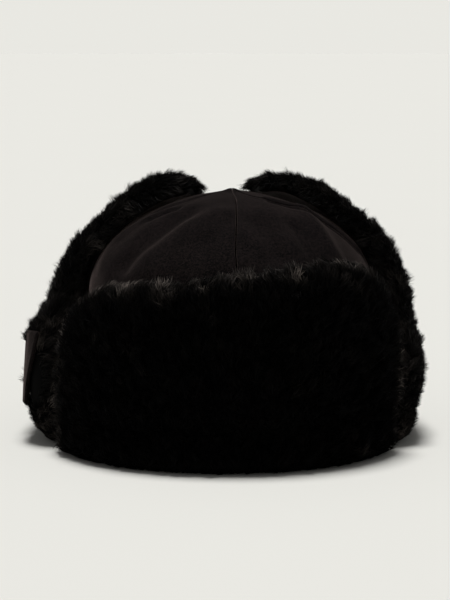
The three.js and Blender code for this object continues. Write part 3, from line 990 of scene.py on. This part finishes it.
@dataclass
class Crown:
    """The four sewn panels of the crown.

    The waves are slight unevenness of the cloth: their lengths along x, y and z.
    """

    form: CrownForm
    shop: Workshop
    wall: float = 3.0
    inner_relief: float = 0.5
    side_round: float = 0.25
    foot_round: float = 1.4
    seam_gap: float = 0.8
    seam_gap_at_apex: float = 0.2
    seam_closes_within: float = 16.0
    last_ring: float = 89.8
    least_radius: float = 1.0
    rings_below: int = 30
    rings_above: int = 56
    columns: int = 72
    seams: dict[str, Seam] = field(
        default_factory=lambda: {
            "front": Seam((4.5, 7.0, 7.0, 6.5, 9.0), (0.0, -25.0, -60.0, -85.0, -125.0)),
            "right": Seam(
                (4.5, 16.0, 30.0, 48.0, 60.0, 75.0, 120.0),
                (0.0, -13.0, -21.0, -24.0, -24.0, -21.0, -17.0),
            ),
            "back": Seam((4.5, 4.5), (0.0, 125.0)),
            "left": Seam(
                (4.5, -13.0, -26.0, -40.0, -56.0, -75.0, -115.0),
                (0.0, -11.0, -17.0, -21.0, -21.0, -18.0, -13.0),
            ),
        }
    )
    folds: tuple[Fold, ...] = (
        Fold(((-25, -43), (-36, -51), (-47, -57), (-63, -62)), 9, -4.4),
        Fold(((-4, -52), (-19, -64), (-32, -75), (-46, -82)), 14, 1.9),
        Fold(((-1, -60), (-8, -72), (-15, -80)), 8, -1.6),
        Fold(((21, -58), (27, -72), (31, -83)), 8, -3.6),
        Fold(((36, -70), (40, -78), (44, -83)), 5, 1.6),
        Fold(((46, -54), (51, -66), (57, -74)), 6.5, -3.2),
        Fold(((49, -24), (54, -32), (63, -53), (69, -64)), 7, 2.6),
        Fold(((-54, -24), (-74, -24), (-80, -40)), 7, 1.4),
        Fold(((26, -16), (48, -20.5), (62, -20), (86, -16)), 2.6, 1.1),
        Fold(((28, -24), (48, -27.5), (62, -27), (84, -24)), 1.8, -1.5),
        Fold(((30, -24), (42, -26.5)), 2.2, -1.0),
        Fold(((-14, -8), (-28, -13.5), (-42, -17.5)), 2.4, 0.7),
        Fold(((-30, -29), (-38, -31), (-47, -33)), 1.8, -1.2),
        Fold(((-34, -26), (-50, -28)), 2.4, 0.9),
    )
    fold_from_z: float = 104.0
    fold_over_z: float = 12.0
    fold_from_y: float = 4.0
    fold_over_y: float = 14.0
    wave_height: float = 0.4
    broad_wave: tuple[float, float, float] = (12.0, 15.0, 21.0)
    broad_wave_start: float = 1.3
    fine_wave: tuple[float, float, float] = (7.0, 9.0, 6.0)
    fine_wave_share: float = 0.6
    lip_height: float = 0.25
    lip_at: float = 3.0
    lip_width: float = 1.7
    groove_depth: float = 0.3
    groove_width: float = 0.7
    knob_height: float = 1.8
    knob_radius: float = 4.5
    seam_fade: float = 32.0

    def relief(self, points: np.ndarray, from_seam: np.ndarray) -> np.ndarray:
        """How far the cloth stands proud of the plain form.

        Args:
            points: Points of the form.
            from_seam: Distances from the nearer seam.

        Returns:
            The height at each point.
        """
        x, y, z = np.moveaxis(points, -1, 0)
        rising = np.clip((z - self.fold_from_z) / self.fold_over_z, 0, 1)
        ahead = np.clip((self.fold_from_y - y) / self.fold_over_y, 0, 1)
        folds = rising * ahead * sum(fold.relief(points) for fold in self.folds)
        broad_x, broad_y, broad_z = self.broad_wave
        fine_x, fine_y, fine_z = self.fine_wave
        waves = np.sin(x / broad_x + self.broad_wave_start) * np.sin(y / broad_y + z / broad_z)
        waves = waves + self.fine_wave_share * np.sin(x / fine_x - y / fine_y + z / fine_z)
        lips = self.lip_height * np.exp(-(((from_seam - self.lip_at) / self.lip_width) ** 2))
        lips = lips - self.groove_depth * np.exp(-((from_seam / self.groove_width) ** 2))
        middle = np.hypot(x - self.form.lean_by, y)
        above = z > self.form.shoulder_z
        knob = self.knob_height * np.exp(-((middle / self.knob_radius) ** 2)) * above
        return folds + self.wave_height * waves + lips * np.clip(middle / self.seam_fade, 0, 1) + knob

    def panel(self, first: str, second: str) -> Slab:
        """The cloth of one panel.

        Args:
            first: The seam where the panel begins.
            second: The seam where it ends, further round towards the right.

        Returns:
            Its slab.
        """
        form = self.form
        steps = np.radians(np.linspace(0, self.last_ring, self.rings_above + 1)[1:])
        dome = form.shoulder_z + (form.apex_z - form.shoulder_z) * np.sin(steps)
        heights = np.concatenate([np.linspace(form.rim_z, form.shoulder_z, self.rings_below), dome])
        start = self.seams[first].azimuths(form, heights)[:, None]
        end = self.seams[second].azimuths(form, heights)[:, None]
        end = np.where(end < start, end + 360, end)
        radius = form.section(heights)[:, None] * form.half_width
        gap = self.seam_gap * np.clip(radius / self.seam_closes_within, self.seam_gap_at_apex, 1)
        inset = np.degrees(gap / 2 / np.maximum(radius, self.least_radius))
        azimuth = start + inset + (end - start - 2 * inset) * places(self.columns, 1.0)
        face = form.wall(azimuth, heights[:, None])
        out = form.normals(face)
        across = walked(face, 1)
        from_seam = np.minimum(across, across[:, -1:] - across)
        lift = self.relief(face, from_seam)[..., None]
        slab = Slab(face + out * lift, face + out * (self.inner_relief * lift - self.wall))
        return slab.rounded(side=self.side_round, foot=self.foot_round, top=0.0, seat=0.5)

    def build(self) -> None:
        """Makes the four panels."""
        around = ("left", "front", "right", "back")
        names = ("crown_front_left", "crown_front_right", "crown_back_right", "crown_back_left")
        for k, name in enumerate(names):
            sewn_to = (names[k - 1], names[(k + 1) % 4])
            slab = self.panel(around[k], around[(k + 1) % 4])
            self.shop.cloth(f"{name}_panel", slab, name, "stretched", sewn_to)


@dataclass(frozen=True)
class FoldRow:
    """A row of the turned bottom fold: how far out of the crown's face and how high its two sides lie."""

    skin_out: float
    skin_z: float
    fur_out: float
    fur_z: float


@dataclass
class Flap:
    """A flap turned up against the crown: its cloth, and the fur on its outside.

    Each gather is how much closer together the points lie at the ends than in the middle.
    """

    name: str
    form: CrownForm
    shop: Workshop
    pile: Pile
    hairs: int
    seed: int
    rests_on: tuple[str, ...]
    cloth: float = 2.5
    inset: float = 4.0
    inset_angle: float = 2.4
    seat: float = 0.8
    foot_z: float = 12.5
    fold_top_z: float = 16.0
    columns: int = 72
    rows: int = 46
    gather_across: float = 0.6
    gather_up: float = 0.35
    cloth_round: float = 1.2
    side_round: float = 11.0
    foot_round: float = 4.0
    top_round: float = 8.0
    fold: tuple[FoldRow, ...] = (
        FoldRow(-3.4, 11.2, -6.5, 9.0),
        FoldRow(-1.0, 11.2, -5.0, 2.5),
        FoldRow(1.0, 11.2, 0.0, 0.0),
        FoldRow(2.6, 11.2, 13.0, 0.0),
        FoldRow(4.1, 11.2, 22.0, 4.0),
    )

    @property
    def skin(self) -> float:
        """How far out of the crown's face the fur's own skin lies."""
        return 2 * self.seat + self.cloth

    def folded(self, rim: np.ndarray) -> tuple[list[np.ndarray], list[np.ndarray]]:
        """The rows of the turned bottom fold.

        Args:
            rim: The points of the crown's rim above it.

        Returns:
            The rows on the fur's side and those on the skin's side.
        """
        away = self.form.normals(rim)
        away[..., 2] = 0
        away = unit(away)
        fur, skin = [], []
        for row in self.fold:
            for rows, out, z in ((fur, row.fur_out, row.fur_z), (skin, row.skin_out, row.skin_z)):
                placed = rim + away * out
                placed[..., 2] = z
                rows.append(placed)
        return fur, skin

    def smooth(self, outer: list[np.ndarray], inner: list[np.ndarray], rows: int) -> Slab:
        """Makes a slab whose rows follow smooth curves through given ones.

        Args:
            outer: The given rows of its outer face.
            inner: The given rows of its inner face.
            rows: How many rows it has.

        Returns:
            The slab.
        """
        outer_rows, inner_rows = np.array(outer), np.array(inner)
        knots = walked(outer_rows, 0).mean(axis=1)
        at = knots[-1] * places(rows, self.gather_up)
        return Slab(eased(knots, outer_rows, at), eased(knots, inner_rows, at))

    def fur_rows(self, share: np.ndarray) -> tuple[list[np.ndarray], list[np.ndarray]]:
        """The fur's rows, fur side and skin side, at shares of the flap's width."""
        raise NotImplementedError

    def cloth_rows(self, share: np.ndarray) -> tuple[list[np.ndarray], list[np.ndarray]]:
        """The cloth's rows, outer and inner, at shares of the flap's width."""
        raise NotImplementedError

    def bare(self, slab: Slab) -> np.ndarray | None:
        """Which cells of the pad have no hair."""
        return None

    def build(self) -> None:
        """Makes the flap's cloth and its fur."""
        share = places(self.columns, self.gather_across)
        backing = self.smooth(*self.cloth_rows(share), self.rows).hemmed(self.cloth_round)
        self.shop.cloth(f"{self.name}_cloth", backing, f"{self.name}_backing", "folded", self.rests_on)
        pad = self.smooth(*self.fur_rows(share), self.rows)
        pad = pad.rounded(self.side_round, self.foot_round, self.top_round, seat=0.0)
        hairs = self.hairs
        hair = self.pile.grow(pad, hairs, self.seed, self.bare(pad))
        self.shop.fur(f"{self.name}_pile", pad, hair, f"{self.name}_fur")


@dataclass
class WallFlap(Flap):
    """A flap that lies on the wall between two azimuths."""

    azimuths: tuple[float, ...] = ()
    tops: tuple[float, ...] = ()
    pile_shares: tuple[float, ...] = (0.0, 0.2, 0.5, 0.75, 0.92, 1.0)
    pile_outs: tuple[float, ...] = (20.0, 22.5, 22.5, 20.0, 14.0, 8.0)
    levels: int = 10

    def layer(
        self, share: np.ndarray, low: float, up: float, out: float, within: float = 0.0
    ) -> np.ndarray:
        """Points over the flap's width at a share of its height.

        Args:
            share: Shares of its width.
            low: The height where it begins.
            up: The share of its height.
            out: The distance out of the crown's face.
            within: 0 for the flap's full outline, 1 for the cloth's smaller one.

        Returns:
            One point for each share.
        """
        start = self.azimuths[0] + within * self.inset_angle
        azimuth = start + (self.azimuths[-1] - within * self.inset_angle - start) * share
        top = eased(self.azimuths, self.tops, azimuth) - within * self.inset
        face = self.form.wall(azimuth, low + (top - low) * up)
        return face + self.form.normals(face) * out

    def fur_rows(self, share: np.ndarray) -> tuple[list[np.ndarray], list[np.ndarray]]:
        """Lays out the fur.

        Args:
            share: Shares of the flap's width.

        Returns:
            Its rows on the fur's side and those on the skin's side.
        """
        azimuth = self.azimuths[0] + (self.azimuths[-1] - self.azimuths[0]) * share
        fur, skin = self.folded(self.form.wall(azimuth, self.form.rim_z))
        for up in np.linspace(0, 1, self.levels):
            out = float(eased(self.pile_shares, self.pile_outs, [up])[0])
            fur.append(self.layer(share, self.fold_top_z, up, out))
            skin.append(self.layer(share, self.fold_top_z, up, self.skin))
        return fur, skin

    def cloth_rows(self, share: np.ndarray) -> tuple[list[np.ndarray], list[np.ndarray]]:
        """Lays out the cloth.

        Args:
            share: Shares of the flap's width.

        Returns:
            Its outer rows and its inner ones.
        """
        ups = np.linspace(0, 1, self.levels)
        outer = [self.layer(share, self.foot_z, up, self.seat + self.cloth, 1.0) for up in ups]
        return outer, [self.layer(share, self.foot_z, up, self.seat, 1.0) for up in ups]


@dataclass(frozen=True)
class EarRow:
    """A level of an ear flap.

    rise is below 0 the millimetres under the ray centre and from 0 the degrees of slope over the dome. front
    and back are the flap's edges, out the distance to the roots of the hair, stand how far the flap stands
    off the crown, and corner how much fuller it is at its lower front corner.
    """

    rise: float
    front: float
    back: float
    out: float
    stand: float = 0.0
    corner: float = 0.0


@dataclass(frozen=True)
class BarePatch:
    """The part of the left ear flap's pad that has no hair, because its turned corner lies on it.

    It lies outside out_x and above foot_z. Its back edge is at back_y at the height back_z and slants
    forward below that, and its top edge is at top_z at the depth front_y and falls towards the back.
    """

    out_x: float = -117.0
    foot_z: float = 27.0
    back_y: float = 6.0
    back_z: float = 58.0
    back_slant: float = 0.5
    top_z: float = 66.0
    front_y: float = -32.0
    top_fall: float = 0.16

    def covers(self, points: np.ndarray) -> np.ndarray:
        """Tells which points lie in the patch.

        Args:
            points: Points of the pad.

        Returns:
            Whether each of them does.
        """
        x, y, z = np.moveaxis(points, -1, 0)
        ahead = y < self.back_y - self.back_slant * (self.back_z - z)
        below = z < self.top_z - self.top_fall * (y - self.front_y)
        return (x < self.out_x) & ahead & (z > self.foot_z) & below


@dataclass
class EarFlap(Flap):
    """An ear flap, which runs from the bottom fold up the side and over the dome."""

    side: Side = Side.LEFT
    table: tuple[EarRow, ...] = ()
    patch: BarePatch | None = None
    side_inset: float = 7.0
    corner_reach: float = 1.7
    corner_fade: float = 3.0

    def layer(self, row: EarRow, share: np.ndarray, out: np.ndarray | float) -> np.ndarray:
        """Points over the flap's width at one level.

        Args:
            row: The level.
            share: Shares of its width.
            out: The distance out of the crown's face, or one for each share.

        Returns:
            One point for each share.
        """
        face = self.form.flank(self.side, row.front + (row.back - row.front) * share, row.rise)
        reach = np.broadcast_to(row.stand + np.asarray(out, float), share.shape)
        return face + self.form.normals(face) * reach[:, None]

    def fur_rows(self, share: np.ndarray) -> tuple[list[np.ndarray], list[np.ndarray]]:
        """Lays out the fur.

        Args:
            share: Shares of the flap's width.

        Returns:
            Its rows on the fur's side and those on the skin's side.
        """
        foot = self.table[0]
        rim = EarRow(self.form.rim_z - self.form.ray_centre_z, foot.front, foot.back, 0.0)
        fur, skin = self.folded(self.layer(rim, share, 0.0))
        for row in self.table:
            fuller = row.corner * np.clip(self.corner_reach - self.corner_fade * share, 0, 1)
            fur.append(self.layer(row, share, row.out + fuller))
            skin.append(self.layer(row, share, self.skin))
        return fur, skin

    def cloth_rows(self, share: np.ndarray) -> tuple[list[np.ndarray], list[np.ndarray]]:
        """Lays out the cloth.

        Args:
            share: Shares of the flap's width.

        Returns:
            Its outer rows and its inner ones.
        """
        inset = self.side_inset
        rows = [replace(row, front=row.front + inset, back=row.back - inset) for row in self.table]
        rows[0] = replace(rows[0], rise=self.foot_z - self.form.ray_centre_z)
        rows[-1] = replace(rows[-1], rise=rows[-1].rise - self.inset_angle)
        outer = [self.layer(row, share, self.seat + self.cloth) for row in rows]
        return outer, [self.layer(row, share, self.seat) for row in rows]

    def bare(self, slab: Slab) -> np.ndarray | None:
        """Which cells of the pad have no hair."""
        middles = (slab.outer[:-1, :-1] + slab.outer[1:, 1:]) / 2
        return self.patch.covers(middles) if self.patch else None


@dataclass(frozen=True)
class CornerStation:
    """A station of the turned corner's path in plan, back along the flap's outer face."""

    along: float
    out: float


@dataclass(frozen=True)
class CornerLevel:
    """A level of the turned corner.

    lead is how far its front edge runs ahead of the stations and tuck how far that edge lies in. cut is how
    much shorter its back is, and drop how much lower.
    """

    height: float
    lead: float
    tuck: float
    cut: float
    drop: float


@dataclass
class TurnedCorner:
    """The wool of the left ear flap's lower front corner, turned to the outside."""

    form: CrownForm
    shop: Workshop
    cloth: float = 2.5
    cloth_round: float = 1.2
    columns: int = 48
    rows: int = 36
    gather_across: float = 0.3
    stations: tuple[CornerStation, ...] = (
        CornerStation(-32.0, 36.0),
        CornerStation(-26.0, 36.4),
        CornerStation(-18.0, 36.4),
        CornerStation(-10.0, 36.0),
        CornerStation(-1.0, 35.2),
        CornerStation(8.0, 34.2),
    )
    levels: tuple[CornerLevel, ...] = (
        CornerLevel(25.0, 0.0, 0.0, 20.0, 0.0),
        CornerLevel(35.0, 0.0, 0.0, 12.0, 0.0),
        CornerLevel(46.0, 2.0, 0.5, 5.0, 2.0),
        CornerLevel(58.0, 5.0, 1.5, 0.0, 4.0),
        CornerLevel(69.0, 6.0, 4.0, 0.0, 6.0),
    )
    lead_fade: float = 3.0
    tuck_fade: float = 8.0

    def grid(self, extra: float) -> np.ndarray:
        """The points of one of the corner's faces, smooth both ways.

        Args:
            extra: How far out the face lies from the inner one.

        Returns:
            The points, in rows and columns.
        """
        start, end = self.stations[0].along, self.stations[-1].along
        rows = []
        for level in self.levels:
            row = []
            for station in self.stations:
                share = (station.along - start) / (end - start)
                rise = level.height - level.drop * share - self.form.ray_centre_z
                lead = level.lead * (1 - share) ** self.lead_fade
                along = station.along - level.cut * share - lead
                out = station.out + extra - level.tuck * (1 - share) ** self.tuck_fade
                face = self.form.flank(Side.LEFT, np.array([along]), rise)
                away = self.form.normals(face)[0] * np.array([1.0, 1.0, 0.0])
                row.append(face[0] + unit(away) * out)
            rows.append(row)
        coarse = np.array(rows)
        path = walked(coarse, 1).mean(axis=0)
        at = path[-1] * places(self.columns, self.gather_across)
        across = eased(path, np.swapaxes(coarse, 0, 1), at)
        heights = [level.height for level in self.levels]
        up = np.linspace(heights[0], heights[-1], self.rows)
        return eased(heights, np.swapaxes(across, 0, 1), up)

    def build(self) -> None:
        """Makes the turned corner."""
        outer, inner = self.grid(self.cloth), self.grid(0.0)
        slab = Slab(outer, inner).hemmed(self.cloth_round)
        name = "ear_flap_left_turned_corner"
        self.shop.cloth(f"{name}_cloth", slab, name, "folded", ("ear_flap_left_fur",))


@dataclass(frozen=True)
class Studio:
    """A pale paper floor under one broad soft lamp, in even surroundings, and the camera.

    Lengths are in metres and angles in degrees.
    """

    floor_reach: float = 40.0
    distance: float = 1.2
    elevation: float = 8.0
    target_z: float = 0.087
    lens: float = 110.2
    film_height: float = 36.0
    lamp_strength: float = 2.73
    lamp_width: float = 20.0
    lamp_tilt: tuple[float, float] = (-3.5, -2.0)
    horizon: Colour = (0.815, 0.808, 0.763)
    overhead: Colour = (0.16, 0.16, 0.16)
    pale_below: float = 0.04
    pale_fades_over: float = 0.12

    def build(self) -> None:
        """Makes the floor, the light and the camera."""
        bpy.context.scene.view_settings.view_transform = "Standard"
        self.make_floor()
        self.make_light()
        self.make_camera()

    def make_floor(self) -> None:
        """Lays the floor."""
        reach = self.floor_reach
        mesh = bpy.data.meshes.new("studio_floor")
        corners = [(-reach, -reach, 0), (reach, -reach, 0), (reach, reach, 0), (-reach, reach, 0)]
        mesh.from_pydata(corners, [], [(0, 1, 2, 3)])
        mesh.materials.append(FloorFinish().material())
        floor = bpy.data.objects.new("studio_floor", mesh)
        bpy.context.scene.collection.objects.link(floor)

    def make_light(self) -> None:
        """Hangs the lamp, and sets surroundings that are pale at the horizon and dimmer overhead."""
        lamp = bpy.data.lights.new("broad_lamp", "SUN")
        lamp.energy = self.lamp_strength
        lamp.angle = math.radians(self.lamp_width)
        hung = bpy.data.objects.new("broad_lamp", lamp)
        hung.rotation_euler = (math.radians(self.lamp_tilt[0]), math.radians(self.lamp_tilt[1]), 0)
        bpy.context.scene.collection.objects.link(hung)
        world = bpy.data.worlds.new("studio_air")
        world.use_nodes = True
        bpy.context.scene.world = world
        board = Board(world.node_tree)
        towards = Wire(board, board.node("ShaderNodeTexCoord", {}, {}).outputs["Generated"])
        split = board.node("ShaderNodeSeparateXYZ", {}, {"Vector": towards})
        share = ((Wire(board, split.outputs["Z"]) - self.pale_below) / self.pale_fades_over).held()
        sky = board.blend(share, self.horizon, self.overhead)
        shade = board.node("ShaderNodeBackground", {}, {"Color": sky, "Strength": 1.0})
        board.node("ShaderNodeOutputWorld", {}, {"Surface": Wire(board, shade.outputs[0])})

    def make_camera(self) -> None:
        """Sets the camera at the photograph's viewing angle."""
        data = bpy.data.cameras.new("front_camera")
        data.sensor_fit = "VERTICAL"
        data.sensor_height = self.film_height
        data.lens = self.lens
        camera = bpy.data.objects.new("front_camera", data)
        rise = math.radians(self.elevation)
        back = Vector((0.0, -math.cos(rise), math.sin(rise)))
        camera.location = Vector((0.0, 0.0, self.target_z)) + back * self.distance
        camera.rotation_euler = (-back).to_track_quat("-Z", "Y").to_euler()
        bpy.context.scene.collection.objects.link(camera)
        bpy.context.scene.camera = camera


EAR_LEFT = (
    EarRow(-44, -41, 62, 26.0, 0.0, 3.0),
    EarRow(-30, -41, 62, 28.5, 0.0, 6.0),
    EarRow(-15, -41, 62, 29.5, 0.0, 6.0),
    EarRow(0, -41, 62, 29.0, 0.0, 6.5),
    EarRow(6, -39, 62, 27.0, 0.0, 3.0),
    EarRow(13, -27, 62, 22.0, 0.2),
    EarRow(22, -16, 62, 17.5, 0.5),
    EarRow(31, -13, 63, 13.5, 0.5),
    EarRow(40, -12, 65, 11.0, 0.3),
    EarRow(49, -11, 66, 11.0, 0.5),
    EarRow(58, -8, 66, 12.5, 1.0),
    EarRow(67, -1, 62, 12.5, 1.6),
    EarRow(77, 16, 50, 6.5, 1.4),
)
EAR_RIGHT = (
    EarRow(-44, -43, 62, 23.5),
    EarRow(-30, -43, 62, 26.5),
    EarRow(-15, -43, 62, 27.5),
    EarRow(0, -42, 62, 26.5),
    EarRow(6, -39, 62, 22.0),
    EarRow(14, -26, 62, 20.5, 0.2),
    EarRow(23, -16, 62, 17.0, 0.5),
    EarRow(32, -13, 63, 13.5, 0.5),
    EarRow(41, -11, 65, 11.0, 0.3),
    EarRow(50, -6, 66, 10.5, 0.6),
    EarRow(60, 2, 66, 10.5, 2.5),
    EarRow(71, 12, 61, 7.5, 3.2),
    EarRow(80.5, 24, 48, 6.5, 1.2),
)
FRONT_AZIMUTHS = (-60.0, -54.0, -42.0, -20.0, 5.0, 40.0, 52.0, 60.0)
FRONT_TOPS = (84.0, 96.0, 102.0, 106.0, 111.0, 115.0, 111.0, 86.0)
NECK_AZIMUTHS = (131.5, 150.0, 210.0, 228.5)
NECK_TOPS = (98.0, 104.0, 104.0, 98.0)


def main() -> None:
    """Builds the hat piece by piece, then the studio round it."""
    logging.basicConfig(level=logging.INFO, format="%(message)s")
    form = CrownForm()
    shop = Workshop({Slot.WOOL: WoolFinish().material(), Slot.FUR: FurFinish().material()})
    Crown(form, shop).build()
    # One fur in shaded and lit copies: the front and neck flaps get painted shade on their faces and strong
    # painted rim highlights; the ear flaps get paler faces, and weaker rim highlights that reach the side
    # edges only low down.
    on_wall = (form, shop, Pile())
    ear_pile_painted_lit = Pile(
        length=9.5,
        face_tone_with_painted_shade=0.018,
        top_rim_painted_highlight=0.03,
        side_rim_painted_highlight=0.09,
        side_highlight_to_z=92.0,
        tone_spread=0.8,
    )
    on_side = (form, shop, ear_pile_painted_lit)
    front, back = ("crown_front_left", "crown_front_right"), ("crown_back_left", "crown_back_right")
    left, right = ("crown_back_left", "crown_front_left"), ("crown_back_right", "crown_front_right")
    flaps = (
        WallFlap(
            "front_flap", *on_wall, hairs=58000, seed=3, rests_on=front,
            azimuths=FRONT_AZIMUTHS, tops=FRONT_TOPS,
        ),
        WallFlap(
            "neck_flap", *on_wall, hairs=48000, seed=11, rests_on=back,
            azimuths=NECK_AZIMUTHS, tops=NECK_TOPS,
        ),
        EarFlap(
            "ear_flap_left", *on_side, hairs=52000, seed=23, rests_on=left,
            side=Side.LEFT, table=EAR_LEFT, patch=BarePatch(),
        ),
        EarFlap(
            "ear_flap_right", *on_side, hairs=52000, seed=37, rests_on=right,
            side=Side.RIGHT, table=EAR_RIGHT,
        ),
    )
    for flap in flaps:
        flap.build()
    TurnedCorner(form, shop).build()
    Studio().build()


if __name__ == "__main__":
    main()
